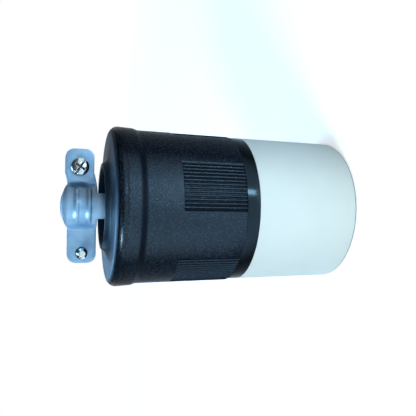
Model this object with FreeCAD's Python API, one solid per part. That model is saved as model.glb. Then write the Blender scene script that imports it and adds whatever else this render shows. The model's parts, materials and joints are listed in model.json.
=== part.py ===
import FreeCAD, Part
import os
from math import cos, degrees, radians, sin, sqrt

Vector = FreeCAD.Vector
os.makedirs("parts", exist_ok=True)

# Inline socket connector, standing on its flat white front face.
# Millimetres and degrees. +Z runs from the front face to the cord clamp, the clamp's ears lie along X.

# White front cover
cover_length = 40.0
cover_radius = 28.4
cover_draft = 0.35
cover_wall = 3.0
cover_seat = 2.0
cover_edge_radius = 0.6

# Contact carrier inside the cover
carrier_wall = 2.8
sleeve_wall = 1.7
sleeve_inset = 0.95

# Black terminal base, whose rim is the band behind the cover
band_width = 5.0
base_flange = 6.0
deck_rise = 3.3
barrier_height = 10.0
barrier_thickness = 1.6
barrier_inner_radius = 3.5

# Rear housing
shell_length = 35.4
shell_step = 0.38
shell_taper = 0.31
housing_wall = 2.8
flange_length = 10.75
flange_ramp_length = 2.5
flange_ramp_rise = 0.63
flange_rise = 0.28
flange_corner_radius = 3.0
rear_crown = 0.35
rear_wall = 4.0
corner_groove_angle = 40.0
corner_groove_width = 0.5
corner_groove_depth = 0.3
hub_height = 1.85
hub_margin = 1.6
hub_rim_width = 1.3
hub_side_slope = 1.6
hub_depth = 7.2
hub_floor = 3.0
hub_cup_wall = 2.8

# Grip panels on the housing
panel_count = 4
panel_angle = 40.0
panel_centre_angle = -71.5
panel_length = 22.4
panel_recess = 0.15
rib_count = 13
rib_height = 0.5
rib_groove_width = 0.8

# Contacts and the slots in front of them
contact_names = ("ground", "line_a", "neutral", "line_b")
slot_circle_inset = 15.8
slot_width = 2.0
slot_half_angle = 20.0
ground_slot_turn = 3.4
leaf_thickness = 1.0
leaf_half_angle = 22.0
jaw_length = 17.0
jaw_gap = 1.8
leg_width = 7.0
leg_thickness = 1.2
pad_width = 8.0
pad_thickness = 1.2
pad_margin = 4.4

# Terminal screws and the plates under them
plate_length = 7.6
plate_width = 8.0
plate_thickness = 1.4
plate_corner_radius = 1.2
terminal_offset = 5.0
terminal_screw_radius = 1.6
terminal_head_radius = 3.0
terminal_head_height = 2.0
terminal_head_crown = 0.5
terminal_screw_depth = 5.5
terminal_screw_chamfer = 0.4
terminal_cross_width = 0.8
terminal_cross_depth = 1.1
terminal_cross_reach = 1.7

# Assembly screws and their inserts
assembly_angles = (45.0, 225.0)
assembly_screw_radius = 1.9
assembly_screw_chamfer = 0.5
assembly_head_radius = 3.2
assembly_head_height = 2.1
assembly_head_crown = 0.5
assembly_head_cover = 0.4
assembly_cross_width = 0.9
assembly_cross_depth = 1.2
assembly_cross_reach = 1.9
insert_wall = 1.1
insert_length = 9.0
insert_groove_depth = 0.35
insert_groove_width = 1.6
boss_wall = 2.3
boss_end_wall = 1.0
screw_past_insert = 2.8
screw_end_gap = 1.0

# Cord clamp, two stamped halves
clamp_sheet = 1.5
clamp_bore_radius = 7.25
clamp_gap = 2.0
clamp_start = 3.75
clamp_width = 10.3
clamp_crown = 2.5
lip_radius = 2.0
lip_start = 0.4
lip_angle = 50.0
ear_end_margin = 3.6
ear_corner_radius = 3.2
ear_lean = 0.95
ear_bend_margin = 2.0
ear_edge_radius = 0.45
open_bend_radius = 1.8
tight_bend_radius = 0.5
bead_depth = 0.4
bead_radius = 1.1
bead_half_angle = 47.0
bead_offsets = (2.7, 7.0)
tongue_width = 9.3
foot_reach = 2.8
foot_room = 1.65

# Clamp screws
lean_screw_margin = 1.32
plain_screw_margin = 5.4
clamp_screw_radius = 2.0
clamp_head_radius = 3.25
clamp_head_height = 2.7
clamp_head_crown = 0.7
clamp_tip_length = 3.6
clamp_screw_chamfer = 0.6
clamp_slot_width = 0.9
clamp_slot_depth = 1.2
clamp_slot_angle = -33.0
clamp_cross_depth = 1.7
clamp_cross_reach = 2.0

# Rubber cord seal
seal_hole_radius = 6.0
seal_thickness = 3.8
seal_lip_depth = 1.2
seal_ring_wall = 2.0
seal_ring_overhang = 1.0

# Clearances
seat_gap = 0.2
fit_gap = 0.2
hole_gap = 0.25
thread_gap = 0.05
tongue_gap = 0.3

# Heights along the axis
assembly_head_sink = assembly_head_height + assembly_head_cover
cover_face = assembly_head_sink + cover_seat
z_joint = cover_length
z_flange = z_joint - base_flange
z_band = z_joint + band_width
z_deck = z_band + deck_rise
z_shell = z_band + shell_length
z_rear = z_shell + flange_length
z_hub = z_rear + hub_height
z_floor = z_hub - hub_depth
z_foot = z_floor - hub_floor
z_clamp = z_rear + clamp_start
z_clamp_end = z_clamp + clamp_width
z_carrier = cover_face + seat_gap
z_jaw = z_carrier + seat_gap
z_jaw_end = z_jaw + jaw_length
z_web = z_jaw_end + leaf_thickness
z_seal_end = z_foot - clamp_sheet - seal_thickness
z_pad = z_deck + pad_thickness
z_plate = z_pad + plate_thickness
z_insert = z_deck + seat_gap
z_insert_end = z_insert + insert_length
z_screw_end = z_insert_end + screw_past_insert
z_bore_end = z_screw_end + screw_end_gap
z_boss_end = z_bore_end + boss_end_wall



def bend_foot(radius):
    # How far out an ear turns flat, where its bend from the arch has this inside radius.
    span = clamp_bore_radius + clamp_sheet + radius
    return sqrt(span ** 2 - (clamp_gap / 2 + clamp_sheet + radius) ** 2)


# Radii that several pieces share
cover_front_radius = cover_radius - cover_draft
cover_bore = cover_radius - cover_wall
slot_circle_radius = cover_radius - slot_circle_inset
shell_front_radius = cover_radius + shell_step
shell_rear_radius = shell_front_radius + shell_taper
ramp_radius = shell_rear_radius + flange_ramp_rise
flange_radius = ramp_radius + flange_rise
cavity_front_radius = shell_front_radius - housing_wall
cavity_rear_radius = shell_rear_radius - housing_wall
floor_hole_radius = clamp_bore_radius + clamp_sheet + tongue_gap
clamp_outer_radius = clamp_bore_radius + clamp_sheet
seal_ring_radius = clamp_outer_radius + foot_reach + foot_room
hub_hole_radius = seal_ring_radius + hub_margin
hub_rim_radius = hub_hole_radius + hub_rim_width
hub_foot_radius = hub_rim_radius + hub_side_slope
ear_outer = clamp_gap / 2 + clamp_sheet
lean_screw_reach = bend_foot(open_bend_radius) + clamp_head_radius + lean_screw_margin
plain_screw_reach = bend_foot(tight_bend_radius) + clamp_head_radius + plain_screw_margin
ear_reach = plain_screw_reach + ear_end_margin
insert_radius = assembly_screw_radius + thread_gap + insert_wall
boss_radius = insert_radius + boss_wall
sleeve_radius = assembly_screw_radius + hole_gap + sleeve_wall
assembly_circle_radius = cover_bore - sleeve_inset - sleeve_radius
jaw_inner_radius = slot_circle_radius - jaw_gap / 2
jaw_outer_radius = slot_circle_radius + jaw_gap / 2
pocket_inner_radius = jaw_inner_radius - leaf_thickness - fit_gap
pocket_outer_radius = jaw_outer_radius + leaf_thickness + fit_gap
carrier_radius = pocket_outer_radius + carrier_wall
terminal_circle_radius = slot_circle_radius + terminal_offset

# Room that cutters take beyond the faces they pass
spare = 1.0


def at(radius, angle, z=0.0):
    return Vector(radius * cos(radians(angle)), radius * sin(radians(angle)), z)


def turned(shape, angle):
    copy = shape.copy()
    copy.rotate(Vector(0, 0, 0), Vector(0, 0, 1), angle)
    return copy


def rod(radius, z_from, z_to, centre=None):
    base = Vector(0, 0, z_from)
    if centre is not None:
        base = Vector(centre.x, centre.y, z_from)
    return Part.makeCylinder(radius, z_to - z_from, base)


def block(x_from, x_to, width, z_from, z_to):
    return Part.makeBox(x_to - x_from, width, z_to - z_from, Vector(x_from, -width / 2, z_from))


def spin(outline, angle=360.0, start=0.0):
    # Turns a closed outline about the axis. A point is radius and height, and one with four numbers
    # ends an arc that passes through the radius and height of its last two.
    edges = []
    last = outline[0]
    for point in outline[1:] + [outline[0][:2]]:
        begin = Vector(last[0], 0, last[1])
        end = Vector(point[0], 0, point[1])
        if len(point) == 4:
            edges.append(Part.Arc(begin, Vector(point[2], 0, point[3]), end).toShape())
        else:
            edges.append(Part.LineSegment(begin, end).toShape())
        last = point
    face = Part.Face(Part.Wire(edges))
    solid = face.revolve(Vector(0, 0, 0), Vector(0, 0, 1), angle)
    return turned(solid, start)


def sector(r_from, r_to, half_angle, z_from, z_to):
    outline = [(r_from, z_from), (r_to, z_from), (r_to, z_to), (r_from, z_to)]
    return spin(outline, 2 * half_angle, -half_angle)


def flat_prism(points, depth_from, depth_to):
    # Extrudes an outline of x and z along Y.
    corners = [Vector(x, depth_from, z) for x, z in points]
    face = Part.Face(Part.makePolygon(corners + [corners[0]]))
    return face.extrude(Vector(0, depth_to - depth_from, 0))


def rounded(shape, radius, picked):
    edges = [edge for edge in shape.Edges if picked(edge)]
    return shape.makeFillet(radius, edges)


def cover_screw_holes():
    holes = []
    for angle in assembly_angles:
        centre = at(assembly_circle_radius, angle)
        holes.append(rod(assembly_head_radius + hole_gap, -spare, assembly_head_sink, centre))
        holes.append(rod(assembly_screw_radius + hole_gap, 0, cover_face + spare, centre))
    return holes


def ground_hook(z_from, z_to, gap=0.0):
    # The hooked end of the ground slot, which runs inwards from the circle.
    hook = block(slot_circle_radius - slot_width / 2 - ground_slot_turn - gap, slot_circle_radius,
                 slot_width + 2 * gap, z_from, z_to)
    return turned(hook, slot_half_angle - degrees(slot_width / 2 / slot_circle_radius))


def front_cover():
    edge = cover_edge_radius
    edge_middle = edge * (1 - cos(radians(45)))
    body = spin([
        (0, 0),
        (cover_front_radius - edge, 0),
        (cover_front_radius, edge, cover_front_radius - edge_middle, edge_middle),
        (cover_radius, z_joint),
        (cover_bore, z_joint),
        (cover_bore, cover_face),
        (0, cover_face),
    ])
    slot = sector(slot_circle_radius - slot_width / 2, slot_circle_radius + slot_width / 2,
                  slot_half_angle, -spare, cover_face + spare)
    cutters = [turned(slot, index * 360 / len(contact_names)) for index in range(len(contact_names))]
    cutters.append(ground_hook(-spare, cover_face + spare))
    return body.cut(cutters + cover_screw_holes())


def leg_slot(z_from, z_to):
    half = leg_thickness / 2 + fit_gap
    return block(slot_circle_radius - half, slot_circle_radius + half, leg_width + 2 * fit_gap,
                 z_from, z_to)


def around(cutter):
    # The same cutter at each contact.
    return [turned(cutter, index * 360 / len(contact_names)) for index in range(len(contact_names))]


def assembly_holes(z_from, z_to):
    return [rod(assembly_screw_radius + hole_gap, z_from, z_to, at(assembly_circle_radius, angle))
            for angle in assembly_angles]


def contact_carrier():
    # Holds the contacts in pockets that open towards the cover's face.
    joined = []
    for angle in assembly_angles:
        joined.append(rod(sleeve_radius, z_carrier, z_flange, at(assembly_circle_radius, angle)))
        joined.append(turned(block(0, assembly_circle_radius, sleeve_radius, z_carrier, z_flange), angle))
    body = rod(carrier_radius, z_carrier, z_flange).fuse(joined).removeSplitter()
    pocket = sector(pocket_inner_radius, pocket_outer_radius,
                    leaf_half_angle + degrees(fit_gap / slot_circle_radius), z_carrier - spare, z_web)
    cutters = around(pocket) + around(leg_slot(z_web - spare, z_flange + spare))
    cutters.append(ground_hook(z_carrier - spare, z_jaw_end, fit_gap))
    return body.cut(cutters + assembly_holes(z_carrier - spare, z_flange + spare))


def terminal_base():
    # Flange inside the cover, band in line with it, deck for the terminals and barriers between them.
    joined = [rod(cover_radius, z_joint, z_band), rod(cavity_front_radius - fit_gap, z_band, z_deck)]
    barrier_end = assembly_circle_radius - boss_radius - seat_gap
    for index in range(len(contact_names)):
        wall = block(barrier_inner_radius, barrier_end, barrier_thickness,
                     z_deck - spare, z_deck + barrier_height)
        joined.append(turned(wall, (index + 0.5) * 360 / len(contact_names)))
    body = rod(cover_bore - fit_gap, z_flange, z_joint).fuse(joined).removeSplitter()
    screw_hole = rod(terminal_screw_radius + hole_gap, z_pad - terminal_screw_depth - seat_gap,
                     z_deck + spare, at(terminal_circle_radius, 0))
    cutters = around(leg_slot(z_flange - spare, z_deck + spare)) + around(screw_hole)
    return body.cut(cutters + assembly_holes(z_flange - spare, z_deck + spare))


def contact(hooked):
    inner_leaf = sector(jaw_inner_radius - leaf_thickness, jaw_inner_radius, leaf_half_angle,
                        z_jaw, z_jaw_end)
    outer_leaf = sector(jaw_outer_radius, jaw_outer_radius + leaf_thickness, leaf_half_angle,
                        z_jaw, z_jaw_end)
    web = sector(jaw_inner_radius - leaf_thickness, jaw_outer_radius + leaf_thickness, leaf_half_angle,
                 z_jaw_end, z_web)
    leg_inside = slot_circle_radius - leg_thickness / 2
    leg = block(leg_inside, leg_inside + leg_thickness, leg_width,
                z_jaw_end + leaf_thickness / 2, z_pad)
    pad = block(leg_inside, terminal_circle_radius + pad_margin, pad_width, z_deck, z_pad)
    body = web.fuse([inner_leaf, outer_leaf, leg, pad]).removeSplitter()
    cutters = [rod(terminal_screw_radius + thread_gap, z_deck - spare, z_pad + spare,
                   at(terminal_circle_radius, 0))]
    if hooked:
        cutters.append(ground_hook(z_jaw - spare, z_jaw_end, fit_gap))
    return body.cut(cutters)


def wire_plate():
    plate = block(terminal_circle_radius - plate_length / 2, terminal_circle_radius + plate_length / 2,
                  plate_width, z_pad, z_plate)
    plate = rounded(plate, plate_corner_radius,
                    lambda edge: abs(edge.tangentAt(edge.FirstParameter).z) > 0.9)
    return plate.cut(rod(terminal_screw_radius + hole_gap, z_pad - spare, z_plate + spare,
                         at(terminal_circle_radius, 0)))


def screw(radius, chamfer, head_radius, head_height, crown, length):
    # Screw with its head's seat at height 0, its domed head above and its shank below.
    dome_radius = (head_radius ** 2 + crown ** 2) / (2 * crown)
    dome_middle = head_height - dome_radius + sqrt(dome_radius ** 2 - (head_radius / 2) ** 2)
    return spin([
        (0, -length),
        (radius - chamfer, -length),
        (radius, chamfer - length),
        (radius, 0),
        (head_radius, 0),
        (head_radius, head_height - crown),
        (0, head_height, head_radius / 2, dome_middle),
    ])


def drive_slot(width, depth, reach, head_height):
    return Part.makeBox(2 * reach, width, depth + spare, Vector(-reach, -width / 2, head_height - depth))


def cross_recess(width, depth, reach, head_height):
    first = drive_slot(width, depth, reach, head_height)
    return [first, turned(first, 90)]


def terminal_screw():
    shape = screw(terminal_screw_radius, terminal_screw_chamfer, terminal_head_radius,
                  terminal_head_height, terminal_head_crown, plate_thickness + terminal_screw_depth)
    shape = shape.cut(cross_recess(terminal_cross_width, terminal_cross_depth, terminal_cross_reach,
                                   terminal_head_height))
    shape.translate(Vector(terminal_circle_radius, 0, z_plate))
    return shape


def assembly_screw(angle):
    shape = screw(assembly_screw_radius, assembly_screw_chamfer, assembly_head_radius,
                  assembly_head_height, assembly_head_crown, z_screw_end - assembly_head_sink)
    shape = shape.cut(cross_recess(assembly_cross_width, assembly_cross_depth, assembly_cross_reach,
                                   assembly_head_height))
    shape.rotate(Vector(0, 0, 0), Vector(1, 0, 0), 180)
    shape.translate(at(assembly_circle_radius, angle, assembly_head_sink))
    return shape


def insert(angle):
    middle = (z_insert + z_insert_end) / 2
    bore = assembly_screw_radius + thread_gap
    waist = insert_radius - insert_groove_depth
    shape = spin([
        (bore, z_insert),
        (insert_radius, z_insert),
        (insert_radius, middle - insert_groove_width / 2),
        (waist, middle - insert_groove_width / 2),
        (waist, middle + insert_groove_width / 2),
        (insert_radius, middle + insert_groove_width / 2),
        (insert_radius, z_insert_end),
        (bore, z_insert_end),
    ])
    shape.translate(at(assembly_circle_radius, angle))
    return shape


def housing_outline():
    ramp_top = z_shell + flange_ramp_length
    z_inner = z_rear - rear_wall
    corner = flange_corner_radius
    corner_x = flange_radius - corner
    corner_z = z_rear - rear_crown - corner
    groove_half = degrees(corner_groove_width / 2 / corner)

    def on_corner(angle, sunk=0.0):
        reach = corner - sunk
        return (corner_x + reach * cos(radians(angle)), corner_z + reach * sin(radians(angle)))
    groove_from = corner_groove_angle - groove_half
    groove_to = corner_groove_angle + groove_half
    cup_radius = hub_hole_radius + hub_cup_wall
    return [
        (cavity_front_radius, z_band),
        (shell_front_radius, z_band),
        (shell_rear_radius, z_shell),
        (shell_rear_radius + flange_ramp_rise / 2, z_shell + flange_ramp_length / 2,
         shell_rear_radius + flange_ramp_rise / 8, z_shell + flange_ramp_length / 4),
        (ramp_radius, ramp_top, ramp_radius - flange_ramp_rise / 8, ramp_top - flange_ramp_length / 4),
        on_corner(0),
        on_corner(groove_from) + on_corner(groove_from / 2),
        on_corner(corner_groove_angle, corner_groove_depth),
        on_corner(groove_to),
        on_corner(90) + on_corner((groove_to + 90) / 2),
        (hub_foot_radius, z_rear),
        (hub_rim_radius, z_hub),
        (hub_hole_radius, z_hub),
        (hub_hole_radius, z_floor),
        (floor_hole_radius, z_floor),
        (floor_hole_radius, z_foot),
        (seal_ring_radius, z_foot),
        (seal_ring_radius, z_seal_end - seal_ring_overhang),
        (seal_ring_radius + seal_ring_wall, z_seal_end - seal_ring_overhang),
        (seal_ring_radius + seal_ring_wall, z_foot),
        (cup_radius, z_foot),
        (cup_radius, z_inner),
        (cavity_rear_radius, z_inner),
        (cavity_rear_radius, z_shell),
    ]


def shell_radius_at(z):
    return shell_front_radius + shell_taper * (z - z_band) / shell_length


def grip_cutters():
    # Shallow panel recesses, and the grooves between their ribs.
    z_end = z_band + panel_length
    near, far = shell_radius_at(z_band), shell_radius_at(z_end)
    recess = spin([
        (near - panel_recess, z_band - spare),
        (near + spare, z_band - spare),
        (far + spare, z_end),
        (far - panel_recess, z_end),
    ], panel_angle, -panel_angle / 2)
    depth = panel_recess + rib_height
    groove = flat_prism([
        (near - depth, z_band - spare),
        (near + spare, z_band - spare),
        (far + spare, z_end),
        (far - depth, z_end),
    ], -rib_groove_width / 2, rib_groove_width / 2)
    pitch = panel_angle / rib_count
    cutters = []
    for panel in range(panel_count):
        centre = panel_centre_angle + panel * 360 / panel_count
        cutters.append(turned(recess, centre))
        for rib in range(rib_count):
            cutters.append(turned(groove, centre + (rib + 0.5 - rib_count / 2) * pitch))
    return cutters


def rear_housing():
    body = spin(housing_outline())
    bosses = []
    holes = []
    for angle in assembly_angles:
        centre = at(assembly_circle_radius, angle)
        web = block(assembly_circle_radius, cavity_front_radius + housing_wall / 2, boss_radius,
                    z_deck, z_boss_end)
        bosses += [rod(boss_radius, z_deck, z_boss_end, centre), turned(web, angle)]
        holes.append(rod(insert_radius, z_deck - spare, z_insert_end, centre))
        holes.append(rod(assembly_screw_radius + hole_gap, z_deck, z_bore_end, centre))
    body = body.fuse(bosses).removeSplitter()
    return body.cut(holes + grip_cutters())


def ear_outline(side, lean):
    # Outline of one ear in x and z, from inside the arch wall to its tip.
    root = clamp_bore_radius + clamp_sheet / 2
    bend = lean_screw_reach - ear_bend_margin
    points = [
        (root, z_clamp),
        (bend, z_clamp + lean),
        (ear_reach, z_clamp + lean),
        (ear_reach, z_clamp_end + lean),
        (bend, z_clamp_end + lean),
        (root, z_clamp_end),
    ]
    return [(side * x, z) for x, z in points]


def ear(side, lean):
    plate = flat_prism(ear_outline(side, lean), -ear_outer, -clamp_gap / 2)

    def tip_corner(edge):
        middle = edge.CenterOfMass
        return abs(edge.tangentAt(edge.FirstParameter).y) > 0.9 and abs(middle.x) > ear_reach - 0.01
    plate = rounded(plate, ear_corner_radius, tip_corner)

    def outer_rim(edge):
        middle = edge.CenterOfMass
        flat = abs(edge.BoundBox.YMax + ear_outer) < 0.01
        return flat and abs(middle.x) > clamp_outer_radius
    return rounded(plate, ear_edge_radius, outer_rim)


def bend_filler(side, radius, z_from, z_to):
    # Fills the corner between arch and ear with the inside of a bend of this radius.
    centre_y = -(ear_outer + radius)
    centre_x = bend_foot(radius)
    share = clamp_outer_radius / (clamp_outer_radius + radius)
    inside = clamp_bore_radius + clamp_sheet / 2
    corners = [
        Vector(side * centre_x * share, centre_y * share, z_from),
        Vector(side * centre_x, centre_y, z_from),
        Vector(side * centre_x, -ear_outer, z_from),
        Vector(side * centre_x, -ear_outer + clamp_sheet / 2, z_from),
        Vector(side * inside, -ear_outer + clamp_sheet / 2, z_from),
        Vector(side * centre_x * share * inside / clamp_outer_radius,
               centre_y * share * inside / clamp_outer_radius, z_from),
    ]
    prism = Part.Face(Part.makePolygon(corners + [corners[0]])).extrude(Vector(0, 0, z_to - z_from))
    return prism.cut(rod(radius, z_from - spare, z_to + spare, Vector(side * centre_x, centre_y, 0)))


def clamp_arch():
    lip_foot = z_clamp_end + lip_start
    centre = clamp_outer_radius + lip_radius
    inner = lip_radius + clamp_sheet
    half, full = radians(lip_angle / 2), radians(lip_angle)
    ring = spin([
        (clamp_bore_radius, z_clamp),
        (clamp_outer_radius, z_clamp),
        (clamp_outer_radius, lip_foot),
        (centre - lip_radius * cos(full), lip_foot + lip_radius * sin(full),
         centre - lip_radius * cos(half), lip_foot + lip_radius * sin(half)),
        (centre - inner * cos(full), lip_foot + inner * sin(full)),
        (clamp_bore_radius, lip_foot, centre - inner * cos(half), lip_foot + inner * sin(half)),
    ], 180, 180)
    # The rear edge is an arc seen from the side: level with the ears at its ends, highest at its crown.
    crown_radius = (clamp_outer_radius ** 2 + clamp_crown ** 2) / (2 * clamp_crown)
    crown_centre = Vector(0, -clamp_gap / 2, z_clamp_end + clamp_crown - crown_radius)
    outline = Part.makeCylinder(crown_radius, 2 * centre, crown_centre, Vector(0, -1, 0))
    return ring.common(outline)


def clamp_tongue():
    ring = spin([
        (clamp_bore_radius, z_foot - clamp_sheet),
        (clamp_outer_radius + foot_reach, z_foot - clamp_sheet),
        (clamp_outer_radius + foot_reach, z_foot),
        (clamp_outer_radius, z_foot),
        (clamp_outer_radius, z_clamp + spare),
        (clamp_bore_radius, z_clamp + spare),
    ], 180, 180)
    strip = block(-tongue_width / 2, tongue_width / 2, 2 * (clamp_outer_radius + foot_reach + spare),
                  z_foot - clamp_sheet - spare, z_clamp + 2 * spare)
    strip.translate(Vector(0, -(clamp_outer_radius + foot_reach + spare), 0))
    return ring.common(strip)


def bead_groove(offset):
    z = z_clamp + offset
    centre = clamp_outer_radius + bead_radius - bead_depth
    ring = Part.makeTorus(centre, bead_radius, Vector(0, 0, z))
    wedge = sector(0, centre + bead_radius + spare, bead_half_angle,
                   z - 2 * bead_radius, z + 2 * bead_radius)
    return ring.common(turned(wedge, -90))


def clamp_half(clear_reach, tapped_reach, clear_lean, tapped_lean, clear_side):
    # One stamped half on the -Y side. Its clear hole is on clear_side, its tapped hole on the other.
    parts = [
        ear(1, ear_lean),
        ear(-1, 0.0),
        bend_filler(1, open_bend_radius, z_clamp, z_clamp_end),
        bend_filler(-1, tight_bend_radius, z_clamp, z_clamp_end),
        clamp_tongue(),
    ]
    body = clamp_arch().fuse(parts).removeSplitter()
    middle = (z_clamp + z_clamp_end) / 2
    cutters = [bead_groove(offset) for offset in bead_offsets]
    for radius, reach, lean, side in (
            (clamp_screw_radius + hole_gap, clear_reach, clear_lean, clear_side),
            (clamp_screw_radius + thread_gap, tapped_reach, tapped_lean, -clear_side)):
        centre = Vector(side * reach, 0, middle + lean)
        cutters.append(Part.makeCylinder(radius, clamp_outer_radius, centre, Vector(0, -1, 0)))
    return body.cut(cutters)


def clamp_half_near():
    return clamp_half(lean_screw_reach, plain_screw_reach, ear_lean, 0.0, 1)


def clamp_half_far():
    half = clamp_half(plain_screw_reach, lean_screw_reach, 0.0, ear_lean, -1)
    return half.mirror(Vector(0, 0, 0), Vector(0, 1, 0))


def clamp_screw(side):
    # Side 1 lies in the leaning ears with its head towards -Y, side -1 in the plain ears the other way.
    length = 2 * ear_outer + clamp_tip_length
    shape = screw(clamp_screw_radius, clamp_screw_chamfer, clamp_head_radius, clamp_head_height,
                  clamp_head_crown, length)
    slot = drive_slot(clamp_slot_width, clamp_slot_depth, clamp_head_radius + spare, clamp_head_height)
    cross = cross_recess(clamp_slot_width, clamp_cross_depth, clamp_cross_reach, clamp_head_height)
    shape = shape.cut([slot] + cross)
    shape = turned(shape, clamp_slot_angle)
    shape.rotate(Vector(0, 0, 0), Vector(1, 0, 0), side * 90)
    reach = lean_screw_reach if side > 0 else -plain_screw_reach
    lean = ear_lean if side > 0 else 0.0
    shape.translate(Vector(reach, -side * ear_outer, (z_clamp + z_clamp_end) / 2 + lean))
    return shape


def cord_seal():
    top = z_seal_end + seal_thickness
    lip = seal_hole_radius + seal_lip_depth
    return spin([
        (lip, z_seal_end),
        (seal_ring_radius - thread_gap, z_seal_end),
        (seal_ring_radius - thread_gap, top),
        (lip, top),
        (seal_hole_radius, top - seal_lip_depth),
        (seal_hole_radius, z_seal_end + seal_lip_depth),
    ])


def save(name, shape):
    solid = shape.Solids[0] if len(shape.Solids) == 1 else shape
    solid.exportStep("parts/" + name + ".step")
    print(name, "solids", len(shape.Solids), "volume", round(shape.Volume), "valid", shape.isValid())


save("front_cover", front_cover())
save("contact_carrier", contact_carrier())
save("terminal_base", terminal_base())
save("rear_housing", rear_housing())
save("clamp_half_near", clamp_half_near())
save("clamp_half_far", clamp_half_far())
save("clamp_screw_near", clamp_screw(1))
save("clamp_screw_far", clamp_screw(-1))
save("cord_seal", cord_seal())
for number, name in enumerate(contact_names):
    angle = number * 360 / len(contact_names)
    save("contact_" + name, turned(contact(name == "ground"), angle))
    save("wire_plate_" + name, turned(wire_plate(), angle))
    save("terminal_screw_" + name, turned(terminal_screw(), angle))
for number, angle in enumerate(assembly_angles, start=1):
    save("assembly_screw_" + str(number), assembly_screw(angle))
    save("insert_" + str(number), insert(angle))
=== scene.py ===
import json
import math

import bpy
from mathutils import Matrix, Vector


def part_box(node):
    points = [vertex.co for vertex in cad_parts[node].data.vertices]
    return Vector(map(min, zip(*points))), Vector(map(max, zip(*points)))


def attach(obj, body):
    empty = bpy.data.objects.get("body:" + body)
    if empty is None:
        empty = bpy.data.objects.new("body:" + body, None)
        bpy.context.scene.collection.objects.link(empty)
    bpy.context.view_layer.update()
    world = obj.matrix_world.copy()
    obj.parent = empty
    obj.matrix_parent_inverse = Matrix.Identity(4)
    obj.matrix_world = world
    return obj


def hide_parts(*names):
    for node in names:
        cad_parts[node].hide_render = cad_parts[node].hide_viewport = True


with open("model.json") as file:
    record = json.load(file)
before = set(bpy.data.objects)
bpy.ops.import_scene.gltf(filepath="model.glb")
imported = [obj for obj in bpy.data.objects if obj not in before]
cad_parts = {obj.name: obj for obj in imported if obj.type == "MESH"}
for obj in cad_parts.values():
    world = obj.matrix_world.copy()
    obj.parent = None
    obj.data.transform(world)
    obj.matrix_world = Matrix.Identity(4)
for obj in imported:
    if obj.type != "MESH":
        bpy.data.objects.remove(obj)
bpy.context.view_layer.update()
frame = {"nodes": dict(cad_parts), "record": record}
mm = 0.001
print("frame loaded:", len(frame["nodes"]), "nodes")


# Small helpers for modelling

# Gaps in millimetres and angles in degrees.
common = {"seamGap": 0.002, "pointGap": 0.001, "softAngle": 35, "flatAngle": 1, "rodSides": 48}


def selectOnly(piece):
    bpy.ops.object.select_all(action="DESELECT")
    piece.select_set(True)
    bpy.context.view_layer.objects.active = piece


def editMode(piece):
    selectOnly(piece)
    bpy.ops.object.mode_set(mode="EDIT")


def objectMode():
    bpy.ops.object.mode_set(mode="OBJECT")


def setTransform():
    bpy.ops.object.transform_apply(location=True, rotation=True, scale=True)


def pick(piece, kind, wanted):
    # Selects vertices, edges or faces of a piece by a test on the element, and stays in edit mode.
    objectMode()
    mesh = piece.data
    groups = {"VERT": mesh.vertices, "EDGE": mesh.edges, "FACE": mesh.polygons}
    for group in groups.values():
        group.foreach_set("select", [False] * len(group))
    for element in groups[kind]:
        if wanted(element):
            element.select = True
    bpy.ops.object.mode_set(mode="EDIT")
    bpy.ops.mesh.select_mode(type=kind)


def pullEdges(rise):
    bpy.ops.mesh.extrude_edges_move(TRANSFORM_OT_translate={"value": (0, 0, rise)})


def resizeFrom(centreHeight, across, along):
    # Resizes what is picked, from a point on the part's axis, and leaves edit mode.
    bpy.ops.transform.resize(value=(across, across, along), center_override=(0, 0, centreHeight))
    objectMode()


def cleanUp(piece, gap=common["seamGap"]):
    # Closes the seams and turns every face outwards.
    editMode(piece)
    bpy.ops.mesh.select_mode(type="VERT")
    bpy.ops.mesh.select_all(action="SELECT")
    bpy.ops.mesh.remove_doubles(threshold=gap * mm)
    bpy.ops.mesh.normals_make_consistent(inside=False)
    objectMode()


def smooth(piece, angle):
    selectOnly(piece)
    bpy.ops.object.shade_smooth_by_angle(angle=math.radians(angle))


def applyModifier(piece, kind, settings):
    selectOnly(piece)
    bpy.ops.object.modifier_add(type=kind)
    modifier = piece.modifiers[-1]
    for key, value in settings.items():
        setattr(modifier, key, value)
    bpy.ops.object.modifier_apply(modifier=modifier.name)


def softenEdges(piece, width, segments=2, angle=common["softAngle"]):
    applyModifier(piece, "BEVEL", {"width": width * mm, "segments": segments, "limit_method": "ANGLE",
                                   "angle_limit": math.radians(angle), "harden_normals": False})
    smooth(piece, common["softAngle"])


def cutAway(piece, cutter):
    applyModifier(piece, "BOOLEAN", {"operation": "DIFFERENCE", "solver": "EXACT", "object": cutter})
    bpy.data.objects.remove(cutter)


def drawOutline(name, points, closed=True):
    # A line of vertices, one pulled out of the other.
    bpy.ops.object.select_all(action="DESELECT")
    bpy.ops.mesh.primitive_plane_add(size=mm, location=points[0])
    piece = bpy.context.object
    piece.name = name
    setTransform()
    bpy.ops.object.mode_set(mode="EDIT")
    bpy.ops.mesh.select_all(action="SELECT")
    bpy.ops.mesh.merge(type="CENTER")
    ends = points[1:] + points[:1] if closed else points[1:]
    for before, after in zip(points, ends):
        bpy.ops.mesh.extrude_vertices_move(TRANSFORM_OT_translate={"value": after - before})
    bpy.ops.mesh.select_all(action="SELECT")
    bpy.ops.mesh.remove_doubles(threshold=common["pointGap"] * mm)
    return piece


def turnOnLathe(name, outline, steps, startAngle=0.0):
    # The outline is radius and height in millimetres, and is turned about the part's axis.
    turn = Matrix.Rotation(math.radians(startAngle), 3, "Z")
    points = [turn @ Vector((radius * mm, 0, z * mm)) for radius, z in outline]
    piece = drawOutline(name, points)
    bpy.ops.mesh.spin(steps=steps, angle=2 * math.pi, center=(0, 0, 0), axis=(0, 0, 1))
    objectMode()
    cleanUp(piece)
    return piece


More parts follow.
